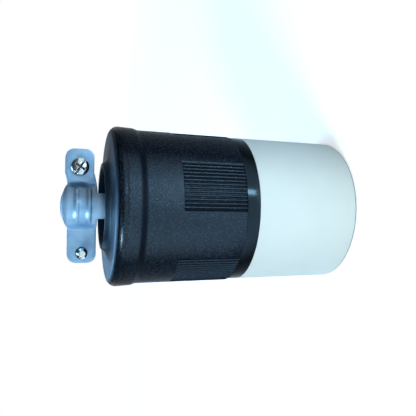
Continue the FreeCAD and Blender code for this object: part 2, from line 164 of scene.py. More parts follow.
def arc(centreRadius, centreZ, radius, start, end, steps):
    angles = [math.radians(start + (end - start) * step / steps) for step in range(steps + 1)]
    return [(centreRadius + radius * math.cos(a), centreZ + radius * math.sin(a)) for a in angles]


def rodCutter(radius, low, high, x=0.0, y=0.0):
    bpy.ops.object.select_all(action="DESELECT")
    bpy.ops.mesh.primitive_cylinder_add(vertices=common["rodSides"], radius=radius * mm, depth=(high - low) * mm,
                                        location=(x * mm, y * mm, (low + high) / 2 * mm))
    setTransform()
    return bpy.context.object


def barCutter(size, middle):
    # A bar of three lengths about a point, in millimetres.
    bpy.ops.object.select_all(action="DESELECT")
    bpy.ops.mesh.primitive_cube_add(size=mm, location=Vector(middle) * mm)
    bar = bpy.context.object
    bar.scale = size
    setTransform()
    return bar


def turnBar(bar, turn):
    bar.rotation_euler.z = turn
    setTransform()
    return bar


def placeIn(piece, node):
    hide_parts(node)
    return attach(piece, "root")


# White cover

cover = {
    "draft": 0.35, "wall": 3.0, "face": 4.5, "steps": 288, "smoothAngle": 30,
    "frontEdge": 1.2, "frontEdgeSteps": 8, "rearEdge": 0.18, "rearEdgeSteps": 4, "wallRows": (0.25, 0.5, 0.75),
    "slotCount": 4, "slotCircle": 12.6, "slotWidth": 2.0, "slotAngle": 40.0, "slotSteps": 16,
    "hookReach": 3.4, "hookMiddle": 2.0, "hookHeight": 8.0, "cutterExcess": 1.0,
    "screwAngles": (45.0, 225.0), "screwCircle": 20.6, "screwHole": 2.15,
    "screwRecess": 3.45, "recessDepth": 2.5,
}
cover["rearRadius"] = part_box("front_cover")[1].x / mm


def slotCutter(angle):
    # A bar bent round the slot circle.
    inner = (cover["slotCircle"] - cover["slotWidth"] / 2) * mm
    outer = (cover["slotCircle"] + cover["slotWidth"] / 2) * mm
    low, high = -cover["cutterExcess"] * mm, (cover["face"] + cover["cutterExcess"]) * mm
    turn = Matrix.Rotation(math.radians(angle - cover["slotAngle"] / 2), 3, "Z")
    points = [turn @ Vector(p) for p in ((inner, 0, low), (outer, 0, low), (outer, 0, high), (inner, 0, high))]
    cutter = drawOutline("slotCutter", points)
    bpy.ops.mesh.edge_face_add()
    bpy.ops.mesh.spin(steps=cover["slotSteps"], angle=math.radians(cover["slotAngle"]),
                      center=(0, 0, 0), axis=(0, 0, 1))
    objectMode()
    cleanUp(cutter)
    return cutter


def hookCutter():
    # A short bar inwards from the end of the first slot.
    width, circle = cover["slotWidth"], cover["slotCircle"]
    start = circle - width / 2 - cover["hookReach"]
    middle = ((start + circle) / 2, 0, cover["hookMiddle"])
    bar = barCutter((circle - start, width, cover["hookHeight"]), middle)
    return turnBar(bar, math.radians(cover["slotAngle"] / 2) - width / 2 / circle)


def makeCover():
    rear, top = cover["rearRadius"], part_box("front_cover")[1].z / mm
    front, bore = rear - cover["draft"], rear - cover["wall"]
    edge, rearEdge = cover["frontEdge"], cover["rearEdge"]
    outline = [(0, 0)]
    outline += arc(front - edge, edge, edge, -90, 0, cover["frontEdgeSteps"])
    outline += [(front + cover["draft"] * share, top * share) for share in cover["wallRows"]]
    outline += arc(rear - rearEdge, top - rearEdge, rearEdge, 0, 90, cover["rearEdgeSteps"])
    outline += [(bore, top), (bore, cover["face"]), (0, cover["face"])]
    piece = turnOnLathe("coverShell", outline, cover["steps"])
    for index in range(cover["slotCount"]):
        cutAway(piece, slotCutter(360 / cover["slotCount"] * index))
    cutAway(piece, hookCutter())
    excess = cover["cutterExcess"]
    for angle in cover["screwAngles"]:
        x = cover["screwCircle"] * math.cos(math.radians(angle))
        y = cover["screwCircle"] * math.sin(math.radians(angle))
        cutAway(piece, rodCutter(cover["screwRecess"], -excess, cover["recessDepth"], x, y))
        cutAway(piece, rodCutter(cover["screwHole"], 0, cover["face"] + excess, x, y))
    smooth(piece, cover["smoothAngle"])
    return placeIn(piece, "front_cover")


coverShell = makeCover()
print("cover made:", len(coverShell.data.polygons), "faces")


# Black base, whose rim is the band between cover and housing

base = {"flange": 6.0, "band": 5.0, "deck": 3.3, "deckRadius": 25.78, "flangeRadius": 25.2,
        "edge": 0.2, "edgeSteps": 4, "steps": 288, "smoothAngle": 30}


def makeBase():
    joint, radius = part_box("front_cover")[1].z / mm, cover["rearRadius"]
    band = joint + base["band"]
    edge, deck = base["edge"], band + base["deck"]
    outline = [(0, joint - base["flange"]), (base["flangeRadius"], joint - base["flange"]),
               (base["flangeRadius"], joint)]
    outline += arc(radius - edge, joint + edge, edge, -90, 0, base["edgeSteps"])
    outline += arc(radius - edge, band - edge, edge, 0, 90, base["edgeSteps"])
    outline += [(base["deckRadius"], band), (base["deckRadius"], deck), (0, deck)]
    piece = turnOnLathe("bandBase", outline, base["steps"])
    smooth(piece, base["smoothAngle"])
    return placeIn(piece, "terminal_base")


bandBase = makeBase()
print("band made")


# Rear housing

housing = {
    "wall": 2.8, "shellLength": 35.4, "shellTaper": 0.31, "step": 0.38, "smoothAngle": 40,
    "frontEdge": 0.22, "frontEdgeSteps": 4, "frontRows": (6, 12, 17), "endRows": (-3, -0.6),
    "rampLength": 2.5, "rampRise": 0.63, "rampSteps": 11, "flangeRise": 0.28, "flangeLength": 10.75,
    "cornerRadius": 3.0, "cornerSteps": 10, "crown": 0.35, "crownMiddle": 22.5,
    "grooveAngle": 40.0, "grooveWidth": 0.6, "grooveDepth": 0.45, "grooveFloor": 0.35, "grooveSteps": 2,
    "hubHole": 14.8, "hubRim": 1.3, "hubSlope": 1.6, "hubHeight": 1.85, "hubDepth": 7.2,
    "hubFoot": ((0.6, -0.02), (0.0, 0.12), (-0.36, 0.41625)),
    "hubShoulder": ((0.276757, -0.36), (0.06, -0.12), (-0.12, 0.0)),
    "holeEdge": 0.32, "holeEdgeSteps": 4, "holeRow": 3.0, "cupEdge": 0.5,
    "floor": 3.0, "floorHole": 9.05, "floorEdge": 0.2, "ringRadius": 13.2, "ringWall": 2.0, "ringEnd": 76.5,
    "cupWall": 2.8, "rearWall": 4.0,
    "panelCount": 5, "panelAngle": 36.0, "panelCentre": -74.6, "panelLength": 23.1, "panelEnd": 0.2,
    "panelRows": (-0.9, -0.2, 0.0, 0.9, 5.0), "panelRecess": 0.15, "panelSlack": 0.01, "skinDepth": 0.6,
    "ribCount": 13, "ribHeight": 0.5, "stepsPerRib": 8,
}
# Shares of the way from a groove's middle to a rib's, and how far each stretch sinks, in rib heights.
ribShape = ((0.0, 0.3, 1.0), (0.3, 0.6, 0.5), (0.6, 0.8, 0.08), (0.8, 1.01, 0.0))


def shellOutline(front, frontRadius):
    # Front edge, shell, ramp and flange, to the middle of the rear face.
    h = housing
    shellEnd = front + h["shellLength"]
    rearRadius = frontRadius + h["shellTaper"]
    rampTop = shellEnd + h["rampLength"]
    rampRadius = rearRadius + h["rampRise"]
    rear = shellEnd + h["flangeLength"]
    corner, edge = h["cornerRadius"], h["frontEdge"]
    cornerR, cornerZ = rampRadius + h["flangeRise"] - corner, rear - h["crown"] - corner
    outline = arc(frontRadius - edge, front + edge, edge, -90, 0, h["frontEdgeSteps"])
    rows = [front + row for row in h["frontRows"]]
    rows += [front + h["panelLength"] + row for row in h["panelRows"]]
    rows += [shellEnd + row for row in h["endRows"]]
    outline += [(frontRadius + h["shellTaper"] / h["shellLength"] * (z - front), z) for z in rows]
    for step in range(1, h["rampSteps"]):
        share = step / h["rampSteps"]
        lift = share * share * (3 - 2 * share)
        outline.append((rearRadius + h["rampRise"] * lift, shellEnd + h["rampLength"] * share))
    outline += [(rampRadius, rampTop), (rampRadius + h["flangeRise"] / 2, (rampTop + cornerZ) / 2)]
    # A fine groove runs round the corner.
    middle, half = h["grooveAngle"], math.degrees(h["grooveWidth"] / 2 / corner)
    floorHalf = half * h["grooveFloor"]
    outline += arc(cornerR, cornerZ, corner, 0, middle - half, h["cornerSteps"])
    outline += arc(cornerR, cornerZ, corner - h["grooveDepth"], middle - floorHalf, middle + floorHalf,
                   h["grooveSteps"])
    outline += arc(cornerR, cornerZ, corner, middle + half, 90, h["cornerSteps"])
    outline.append((h["crownMiddle"], rear - h["crown"] * 0.5))
    return outline


def hubOutline(rear):
    # From the foot of the hub over its rim into the cup that the clamp's feet stand in.
    h = housing
    hubTop = rear + h["hubHeight"]
    rim = h["hubHole"] + h["hubRim"]
    floor = hubTop - h["hubDepth"]
    edge, cupEdge, floorEdge = h["holeEdge"], h["cupEdge"], h["floorEdge"]
    outline = [(rim + h["hubSlope"] + out, rear + up) for out, up in h["hubFoot"]]
    outline += [(rim + out, hubTop + up) for out, up in h["hubShoulder"]]
    outline += arc(h["hubHole"] + edge, hubTop - edge, edge, 90, 180, h["holeEdgeSteps"])
    outline += [(h["hubHole"], hubTop - h["holeRow"]), (h["hubHole"], floor + cupEdge),
                (h["hubHole"] - cupEdge, floor), (h["floorHole"] + floorEdge, floor),
                (h["floorHole"], floor - floorEdge)]
    return outline


def insideOutline(front, rear, rearRadius):
    # From the cup's floor round the seal's ring and back along the inside of the shell.
    h = housing
    foot = rear + h["hubHeight"] - h["hubDepth"] - h["floor"]
    ring, cup = h["ringRadius"] + h["ringWall"], h["hubHole"] + h["cupWall"]
    inside = rearRadius - h["wall"]
    return [(h["floorHole"], foot), (h["ringRadius"], foot), (h["ringRadius"], h["ringEnd"]),
            (ring, h["ringEnd"]), (ring, foot), (cup, foot), (cup, rear - h["rearWall"]),
            (inside, rear - h["rearWall"]), (inside, front + h["shellLength"]),
            (inside - h["shellTaper"], front)]


def housingOutline(front, frontRadius):
    rear = front + housing["shellLength"] + housing["flangeLength"]
    return (shellOutline(front, frontRadius) + hubOutline(rear)
            + insideOutline(front, rear, frontRadius + housing["shellTaper"]))


def ribShare(point):
    # Where a point of the shell lies in a grip panel: None outside, 0 in a groove's middle, 1 in a rib's.
    h = housing
    angle = math.degrees(math.atan2(point.y, point.x)) - h["panelCentre"]
    spread = 360 / h["panelCount"]
    offset = (angle + spread / 2) % spread - spread / 2
    if abs(offset) > h["panelAngle"] / 2 + h["panelSlack"]:
        return None
    place = offset / (h["panelAngle"] / h["ribCount"])
    return abs(place - round(place)) * 2


def makeHousing():
    h = housing
    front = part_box("rear_housing")[0].z / mm
    frontRadius = cover["rearRadius"] + h["step"]
    steps = int(round(360 / (h["panelAngle"] / h["ribCount"]))) * h["stepsPerRib"]
    piece = turnOnLathe("housingShell", housingOutline(front, frontRadius), steps, h["panelCentre"])
    top = (front + h["panelLength"] - h["panelEnd"] / 2) * mm
    skin = (frontRadius - h["skinDepth"]) * mm

    def inStretch(vertex, near, far):
        if vertex.co.z > top or math.hypot(vertex.co.x, vertex.co.y) < skin:
            return False
        share = ribShare(vertex.co)
        return share is not None and near <= share < far

    for near, far, sink in ribShape:
        pick(piece, "VERT", lambda vertex: inStretch(vertex, near, far))
        resizeFrom(0, 1 - (h["panelRecess"] + h["ribHeight"] * sink) / frontRadius, 1)
    smooth(piece, h["smoothAngle"])
    return placeIn(piece, "rear_housing")


housingShell = makeHousing()
print("housing made:", len(housingShell.data.polygons), "faces")


# Cord clamp

clamp = {
    "sheet": 1.5, "outer": 8.75, "flat": 2.5, "width": 10.3, "openBend": 1.8, "tightBend": 0.5, "bendSteps": 7,
    "lean": 0.95, "leanStart": 8.0, "leanEnd": 12.2, "leanSteps": 7, "leanRows": 4,
    "earCorner": 3.2, "cornerSteps": 9, "flatStart": 9.2,
    "archSteps": (12, 22, 12), "plainRows": (0.0, 1.0, 5.2, 9.4), "topRoom": 2.5,
    "tongue": 9.3, "tongueRows": (3.5, 6.5, 1.7, 0.4), "footReach": 2.6,
    "beads": (2.75, 7.1), "beadHeight": 0.21, "beadHalf": 46.0, "beadFade": 6.0, "beadSteps": 4,
    "lipHeight": 1.95, "lipStart": 0.4, "lipRadius": 4.1, "lipRows": 7,
    "crownSteps": 32, "crownPower": 2.3, "crownLeast": 0.002, "flareSteps": 40,
    "hole": 2.2, "drill": 20, "rim": 0.36, "rimSegments": 3, "rimAngle": 50, "smoothAngle": 38,
}
# How high a bead is beside its middle, from the housing's side to the cord's side.
beadShape = ((-0.8, 0.0), (-0.6, 0.22), (-0.38, 0.68), (-0.1, 0.96), (0.2, 1.0), (0.6, 0.8), (1.0, 0.42),
             (1.4, 0.1), (1.7, 0.0))
# Slack of the tests that pick points by their place, in millimetres.
slack = 0.01


def around(point):
    return math.hypot(point.x, point.y) / mm


def turned(point):
    # Degrees round the cord from the arch's middle.
    return abs(math.degrees(math.atan2(point.x, abs(point.y))))


def bendLine(way, reach, bend):
    # From an ear's tip to where its bend runs into the arch.
    c = clamp
    foot = math.sqrt((c["outer"] + bend) ** 2 - (c["flat"] + bend) ** 2)
    meet = math.atan2(foot, c["flat"] + bend)
    line = [(way * reach, -c["flat"])]
    if way > 0:
        span = c["leanEnd"] - foot
        line += [(c["leanEnd"] - span * step / c["leanRows"], -c["flat"]) for step in range(c["leanRows"])]
    for step in range(c["bendSteps"] + 1):
        turn = meet * step / c["bendSteps"]
        line.append((way * (foot - bend * math.sin(turn)), bend * (math.cos(turn) - 1) - c["flat"]))
    return line, math.degrees(meet)


def strapLine(reach):
    # The outer face of the strap seen along the cord, from ear to ear.
    right, rightMeet = bendLine(1, reach, clamp["openBend"])
    left, leftMeet = bendLine(-1, reach, clamp["tightBend"])
    edge = math.degrees(math.asin(clamp["tongue"] / 2 / clamp["outer"]))
    arch = []
    for (first, last), steps in zip(((rightMeet, edge), (edge, -edge), (-edge, -leftMeet)), clamp["archSteps"]):
        arch += [first + (last - first) * step / steps for step in range(steps)]
    curve = [(clamp["outer"] * math.sin(math.radians(a)), -clamp["outer"] * math.cos(math.radians(a)))
             for a in arch[1:]]
    return right + curve + left[::-1], min(rightMeet, leftMeet)


def strapRows():
    rows = {*clamp["plainRows"], clamp["width"]}
    for bead in clamp["beads"]:
        rows |= {round(bead + offset, 4) for offset, rise in beadShape}
    return sorted(rows)


def raiseLip(piece, top, archEnd):
    # The rear edge of the arch rises to a crown and turns outwards.
    c = clamp
    mesh = piece.data

    def onTopEdge(point):
        return abs(around(point) - c["outer"]) < 2 * slack and point.z / mm > top - slack

    pick(piece, "EDGE", lambda edge: all(onTopEdge(mesh.vertices[index].co) for index in edge.vertices))
    for row in range(c["lipRows"]):
        pullEdges(c["lipHeight"] / c["lipRows"] * mm)
    objectMode()
    steps, before = c["crownSteps"], 1.0
    for step in range(1, steps + 1):
        share = max(1 - (step / steps) ** c["crownPower"], c["crownLeast"])
        limit = archEnd * (step - 0.5) / steps
        pick(piece, "VERT", lambda v: v.co.z / mm > top + slack / 10 and turned(v.co) > limit)
        resizeFrom(top * mm, 1, share / before)
        before = share
    steps, rise, bend = c["flareSteps"], c["lipHeight"] - c["lipStart"], c["lipRadius"]
    flare = [c["outer"] + bend - math.sqrt(bend ** 2 - (rise * step / steps) ** 2) for step in range(steps + 1)]
    for step in range(steps):
        height = top + c["lipStart"] + rise * (step + 0.5) / steps
        pick(piece, "VERT", lambda v: v.co.z / mm > height)
        resizeFrom(0, flare[step + 1] / flare[step], 1)


def raiseBead(piece, middle):
    # A bead runs round the arch and fades out at its ends.
    c = clamp
    for offset, rise in beadShape:
        if rise == 0:
            continue
        for part in range(c["beadSteps"]):
            end = c["beadHalf"] + c["beadFade"] * (part - (c["beadSteps"] - 1) / 2) / 2
            height = middle + offset
            pick(piece, "VERT", lambda v: abs(v.co.z / mm - height) < slack / 2 and turned(v.co) < end)
            resizeFrom(0, 1 + rise * c["beadHeight"] / c["beadSteps"] / c["outer"], 1)


def leanEar(piece):
    # One ear leans towards the cord.
    c = clamp
    for step in range(c["leanSteps"]):
        limit = c["leanStart"] + (c["leanEnd"] - c["leanStart"]) * (step + 1) / c["leanSteps"] - 2 * slack
        pick(piece, "VERT", lambda v: v.co.x / mm > limit)
        bpy.ops.transform.translate(value=(0, 0, c["lean"] / c["leanSteps"] * mm))
        objectMode()


def pullTongue(piece, bottom):
    # The tongue runs down into the hub and ends in a foot.
    c = clamp
    mesh = piece.data

    def onTongue(point):
        return abs(point.x) / mm < c["tongue"] / 2 + slack and point.z / mm < bottom + slack

    pick(piece, "EDGE", lambda edge: all(onTongue(mesh.vertices[index].co) for index in edge.vertices))
    for drop in c["tongueRows"]:
        pullEdges(-drop * mm)
    pullEdges(0)
    resizeFrom(0, (c["outer"] + c["footReach"]) / c["outer"], 1)


def roundEars(piece, reach):
    # Each ear is one flat face with rounded corners.
    c = clamp
    for way, start in ((1, c["leanEnd"]), (-1, c["flatStart"])):
        pick(piece, "FACE", lambda face: way * face.center.x / mm > start)
        bpy.ops.mesh.dissolve_limited(angle_limit=math.radians(common["flatAngle"]))
        objectMode()
    pick(piece, "VERT", lambda v: abs(v.co.x) / mm > reach - slack)
    bpy.ops.mesh.bevel(offset=c["earCorner"] * mm, segments=c["cornerSteps"], affect="VERTICES")
    objectMode()


def faceOutwards(piece, side):
    # Turns the whole strap over if its arch faces the cord.
    crown = max(piece.data.polygons, key=lambda face: -side * face.center.y if abs(face.center.x) < mm else -1)
    if crown.normal.y * side > 0:
        editMode(piece)
        bpy.ops.mesh.select_all(action="SELECT")
        bpy.ops.mesh.flip_normals()
        objectMode()


def makeClampHalf(name, node, side, holes):
    c = clamp
    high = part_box(node)[1]
    reach, top = high.x / mm, high.z / mm - c["topRoom"]
    bottom = top - c["width"]
    line, archEnd = strapLine(reach)
    piece = drawOutline(name, [Vector((x * mm, side * y * mm, bottom * mm)) for x, y in line], closed=False)
    rows = strapRows()
    for below, above in zip(rows, rows[1:]):
        pullEdges((above - below) * mm)
    objectMode()
    raiseLip(piece, top, archEnd)
    for bead in c["beads"]:
        raiseBead(piece, bottom + bead)
    leanEar(piece)
    pullTongue(piece, bottom)
    roundEars(piece, reach)
    cleanUp(piece)
    faceOutwards(piece, side)
    applyModifier(piece, "SOLIDIFY", {"thickness": c["sheet"] * mm, "offset": -1, "use_even_offset": True})
    softenEdges(piece, c["rim"], c["rimSegments"], c["rimAngle"])
    for x, z in holes:
        drill = rodCutter(c["hole"], -c["drill"], c["drill"])
        drill.rotation_euler.x = math.pi / 2
        drill.location = (x, 0, z)
        setTransform()
        cutAway(piece, drill)
    smooth(piece, c["smoothAngle"])
    return placeIn(piece, node)


def screwPlace(node):
    low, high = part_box(node)
    return (low.x + high.x) / 2, (low.z + high.z) / 2


screwHoles = [screwPlace("clamp_screw_near"), screwPlace("clamp_screw_far")]
clampNear = makeClampHalf("clampHalfNear", "clamp_half_near", 1, screwHoles)
clampFar = makeClampHalf("clampHalfFar", "clamp_half_far", -1, screwHoles)
print("clamp made:", len(clampNear.data.polygons), "faces a half")


# Clamp screws

screw = {
    "radius": 2.0, "core": 1.7, "pitch": 0.7, "plain": 1.0, "point": 0.5, "pointSlack": 0.05, "pointRow": 0.1,
    "crestSlack": 0.03, "crest": (0.42, 0.54), "head": 3.25, "headHeight": 2.7, "dome": 0.75, "seat": 0.12,
    "corner": 0.3, "cornerAngle": 60, "cornerSteps": 4, "domeAngles": (15, 30, 45, 60, 75),
    "slot": 0.85, "slotDepth": 1.15, "cross": 0.8, "crossReach": 1.95, "crossDepth": 1.75, "cutterExcess": 1.0,
    "turn": -33.0, "steps": 64, "edge": 0.07, "edgeAngle": 40, "gap": 0.0005, "smoothAngle": 35,
}


def screwOutline(length):
    # The head's seat is at height 0 and the tip below it.
    s = screw
    crest, shank = s["radius"] - s["crestSlack"], s["radius"] - s["pointSlack"]
    outline = [(0, -length), (s["core"] - s["point"], -length),
               (s["core"] - s["pointSlack"], s["point"] - length)]
    z = s["point"] - length + s["pointRow"]
    while z < -s["plain"] - s["pitch"]:
        outline += [(s["core"], z)] + [(crest, z + s["pitch"] * share) for share in s["crest"]]
        z += s["pitch"]
    outline += [(s["core"], z), (shank, -s["plain"]), (shank, 0), (s["head"] - s["seat"], 0),
                (s["head"], s["seat"])]
    side = s["headHeight"] - s["dome"] - s["corner"]
    outline += arc(s["head"] - s["corner"], side, s["corner"], 0, s["cornerAngle"], s["cornerSteps"])
    edge, foot = outline[-1]
    outline += [(edge * math.cos(math.radians(a)), foot + (s["headHeight"] - foot) * math.sin(math.radians(a)))
                for a in s["domeAngles"]]
    outline.append((0, s["headHeight"]))
    return outline


def headCutter(length, width, depth, turn):
    bottom, top = screw["headHeight"] - depth, screw["headHeight"] + screw["cutterExcess"]
    bar = barCutter((length, width, top - bottom), (0, 0, (bottom + top) / 2))
    return turnBar(bar, math.radians(screw["turn"] + turn))


def makeClampScrew(name, node, side):
    s = screw
    low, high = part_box(node)
    piece = turnOnLathe(name, screwOutline((high.y - low.y) / mm - s["headHeight"]), s["steps"])
    cutAway(piece, headCutter(2 * s["head"] + s["cutterExcess"], s["slot"], s["slotDepth"], 0))
    for turn in (0, 90):
        cutAway(piece, headCutter(2 * s["crossReach"], s["cross"], s["crossDepth"], turn))
    softenEdges(piece, s["edge"], 2, s["edgeAngle"])
    selectOnly(piece)
    piece.rotation_euler.x = side * math.pi / 2
    seat = low.y + s["headHeight"] * mm if side > 0 else high.y - s["headHeight"] * mm
    piece.location = ((low.x + high.x) / 2, seat, (low.z + high.z) / 2)
    setTransform()
    cleanUp(piece, s["gap"])
    smooth(piece, s["smoothAngle"])
    return placeIn(piece, node)


clampScrews = [makeClampScrew("clampScrewNear", "clamp_screw_near", 1),
               makeClampScrew("clampScrewFar", "clamp_screw_far", -1)]
print("clamp screws made")


# Cord seal

seal = {"gap": 0.001, "flatAngle": 0.4, "smoothAngle": 25, "edge": 0.2}


def makeSeal():
    # A merged copy of the CAD piece, with its flat faces whole again and its edges softened.
    selectOnly(frame["nodes"]["cord_seal"])
    bpy.ops.object.duplicate()
    piece = bpy.context.object
    piece.name = "sealRing"
    piece.data.name = "sealRing"
    world = piece.matrix_world.copy()
    piece.parent = None
    piece.matrix_world = world
    for key in list(piece.keys()):
        del piece[key]
    piece.data.materials.clear()
    editMode(piece)
    bpy.ops.mesh.select_all(action="SELECT")
    bpy.ops.mesh.remove_doubles(threshold=seal["gap"] * mm)
    bpy.ops.mesh.customdata_custom_splitnormals_clear()
    bpy.ops.mesh.dissolve_limited(angle_limit=math.radians(seal["flatAngle"]))
    objectMode()
    smooth(piece, seal["smoothAngle"])
    softenEdges(piece, seal["edge"])
    return placeIn(piece, "cord_seal")


sealRing = makeSeal()
print("seal made")


# Materials

class Wire:
    # An output of a shader node that takes part in sums.
    def __init__(self, finish, socket):
        self.finish = finish
        self.socket = socket

    def combine(self, operation, first, second):
        return self.finish.add("ShaderNodeMath", {"operation": operation}, {0: first, 1: second})

    def __add__(self, other):
        return self.combine("ADD", self, other)

    def __radd__(self, other):
        return self.combine("ADD", other, self)

    def __sub__(self, other):
        return self.combine("SUBTRACT", self, other)

    def __rsub__(self, other):
        return self.combine("SUBTRACT", other, self)

    def __mul__(self, other):
        return self.combine("MULTIPLY", self, other)

    def __rmul__(self, other):
        return self.combine("MULTIPLY", other, self)


class Finish:
    # The nodes of a material or of the world.
    def __init__(self, owner, output="ShaderNodeOutputMaterial"):
        self.owner = owner
        owner.use_nodes = True
        self.tree = owner.node_tree
        self.tree.nodes.clear()
        self.output = self.tree.nodes.new(output)

    def add(self, kind, settings=None, inputs=None, output=0):
        node = self.tree.nodes.new(kind)
        for key, value in (settings or {}).items():
            setattr(node, key, value)
        for key, value in (inputs or {}).items():
            if isinstance(value, Wire):
                self.tree.links.new(value.socket, node.inputs[key])
            else:
                node.inputs[key].default_value = value
        return Wire(self, node.outputs[output])

    def others(self, wire, names):
        # More outputs of the node that a wire comes from.
        return [Wire(self, wire.socket.node.outputs[name]) for name in names]

    def position(self):
        return self.add("ShaderNodeTexCoord", output="Object")

    def parts(self, where):
        return self.others(self.add("ShaderNodeSeparateXYZ", {}, {"Vector": where}), range(3))

    def fromAxis(self, where):
        flat = self.add("ShaderNodeVectorMath", {"operation": "MULTIPLY"}, {0: where, 1: (1, 1, 0)})
        return self.length(flat)

    def length(self, vector):
        return self.add("ShaderNodeVectorMath", {"operation": "LENGTH"}, {0: vector}, "Value")

    def noise(self, where, scale, detail=2.0, roughness=0.5):
        return self.add("ShaderNodeTexNoise", {}, {"Vector": where, "Scale": scale, "Detail": detail,
                                                   "Roughness": roughness}, output="Fac")

    def step(self, value, low, high, start=0.0, end=1.0):
        return self.add("ShaderNodeMapRange", {"interpolation_type": "SMOOTHSTEP"},
                        {"Value": value, "From Min": low, "From Max": high, "To Min": start, "To Max": end})

    def between(self, value, low, high):
        # A mask that rises over the first span and falls over the second, in millimetres.
        rise, fall = [(at * mm, to * mm) for at, to in (low, high)]
        return self.step(value, *rise) * (1 - self.step(value, *fall))

    def mix(self, share, first, second):
        return self.add("ShaderNodeMix", {"data_type": "RGBA"}, {0: share, 6: first, 7: second}, output=2)

    def blend(self, share, first, second):
        return self.add("ShaderNodeMixShader", {}, {0: share, 1: first, 2: second})

    def bump(self, height, distance, strength):
        return self.add("ShaderNodeBump", {}, {"Height": height, "Distance": distance, "Strength": strength})

    def principled(self, inputs):
        return self.add("ShaderNodeBsdfPrincipled", {}, inputs)

    def twoGlosses(self, inputs, look, fading=1, dulled=0):
        # Plastic that keeps its gloss where it faces the eye and loses it towards its outline.
        bright = self.principled({**inputs, "Specular IOR Level": look["gloss"]})
        dull = self.principled({**inputs, "Specular IOR Level": look["dull"]})
        facing = self.add("ShaderNodeLayerWeight", {}, {"Blend": 0.5}, "Facing")
        share = self.step(facing, look["glossFrom"], look["glossTo"]) * fading
        return self.close(self.blend(share + dulled * (1 - share), bright, dull))

    def close(self, shader):
        self.tree.links.new(shader.socket, self.output.inputs["Surface"])
        return self.owner

    def surface(self, inputs):
        return self.close(self.principled(inputs))


def newFinish(name):
    return Finish(bpy.data.materials.new(name))


# The rim colour paints shade along the cover's front edge, where the edge turns from the light and meets the
# floor.
coverLook = {
    "colour": (0.705, 0.742, 0.695, 1), "shade": (0.680, 0.716, 0.672, 1), "rim": (0.22, 0.26, 0.30, 1),
    "cloud": 45, "cloudSpan": (0.35, 0.7), "fine": 2600,
    "rimShadeRadius": (27.0, 27.5), "rimHeight": (0.55, 1.25), "rimShadeShare": 0.9,
    "roughness": 0.46, "roughSpread": 0.1, "gloss": 0.05, "bump": 0.012, "bumpStrength": 0.5,
}


def coverNylon():
    look = coverLook
    finish = newFinish("coverNylon")
    where = finish.position()
    cloud = finish.noise(where, look["cloud"], 3)
    fine = finish.noise(where, look["fine"], 2)
    colour = finish.mix(finish.step(cloud, *look["cloudSpan"]), look["colour"], look["shade"])
    # Painted shade: a dark ring on the outside of the front edge.
    radius, height = finish.fromAxis(where), finish.parts(where)[2]
    (inner, outer), (low, high) = look["rimShadeRadius"], look["rimHeight"]
    rim = finish.step(radius, inner * mm, outer * mm) * (1 - finish.step(height, low * mm, high * mm))
    colour = finish.mix(rim * look["rimShadeShare"], colour, look["rim"])
    return finish.surface({"Base Color": colour, "Roughness": look["roughness"] + fine * look["roughSpread"],
                           "Normal": finish.bump(fine, look["bump"] * mm, look["bumpStrength"]),
                           "Specular IOR Level": look["gloss"]})


bandLook = {
    "colour": (0.0005, 0.001, 0.003, 1), "tint": (0.5, 0.8, 1.0, 1), "fine": 900, "streak": 160,
    "roughness": 0.12, "roughSpread": 0.07, "bump": 0.002, "bumpStrength": 0.6,
    "gloss": 0.42, "dull": 0.02, "glossFrom": 0.12, "glossTo": 0.40,
}


def bandPlastic():
    look = bandLook
    finish = newFinish("bandPlastic")
    where = finish.position()
    fine = finish.noise(where, look["fine"], 3)
    rough = look["roughness"] + finish.noise(where, look["streak"], 2) * look["roughSpread"]
    return finish.twoGlosses({"Base Color": look["colour"], "Roughness": rough, "Specular Tint": look["tint"],
                              "Normal": finish.bump(fine, look["bump"] * mm, look["bumpStrength"])}, look)


# The masks give heights and depths in millimetres, each as where it starts and where it is whole.
# The groove colour and the groove dulling paint shade between the ribs; the ramp dulling paints shade at the
# foot of the flange's ramp.
housingLook = {
    "colour": (0.0025, 0.0048, 0.009, 1), "speck": (0.018, 0.029, 0.046, 1), "tint": (0.50, 0.77, 1.0, 1),
    "grooveShadeColour": (0.0008, 0.0014, 0.0025, 1),
    "gloss": 0.47, "dull": 0.012, "glossFrom": 0.10, "glossTo": 0.36,
    "grain": 1650, "grainDepth": 0.33, "grainStrength": 0.8, "grainRoughness": 0.65, "specks": (0.50, 0.64),
    "speckShare": 0.8, "coarse": 300, "roughness": 0.23, "roughSpread": 0.12, "rearRoughness": 0.36,
    "smoother": 0.05, "rear": (88.6, 90.4), "corner": (86.2, 87.4), "cornerSmooth": 0.8,
    "rampShadeSpan": ((79.8, 80.9), (81.9, 83.2)), "rampShadeDull": 0.85,
    "panelFade": 0.05, "panelRun": 0.3, "panelSmooth": 0.6, "groove": (0.64, 0.36), "grooveRun": 0.2,
    "grooveShadeDull": 0.6,
}


def panelMask(finish, x, y, z, top):
    # 1 in the grip panels, by the cosine of the angle from the nearest panel's middle.
    count = housing["panelCount"]
    angle = finish.add("ShaderNodeMath", {"operation": "ARCTAN2"}, {0: y, 1: x})
    turn = (angle - math.radians(housing["panelCentre"])) * count
    wave = finish.add("ShaderNodeMath", {"operation": "COSINE"}, {0: turn})
    edge = math.cos(math.radians(housing["panelAngle"] / 2 * count))
    below = 1 - finish.step(z, top - housingLook["panelRun"] * mm, top)
    return finish.step(wave, edge, edge + housingLook["panelFade"]) * below


def grooveShadeMask(finish, where, z, front, top):
    # 1 between the ribs, by the depth under the tapered skin; it marks where shade is painted into the grooves.
    deep, shallow = housingLook["groove"]
    skin = (cover["rearRadius"] + housing["step"]) * mm
    radius = finish.fromAxis(where) - (z - front) * (housing["shellTaper"] / housing["shellLength"])
    sunk = 1 - finish.step(radius, skin - deep * mm, skin - shallow * mm)
    return sunk * (1 - finish.step(z, top, top + housingLook["grooveRun"] * mm))


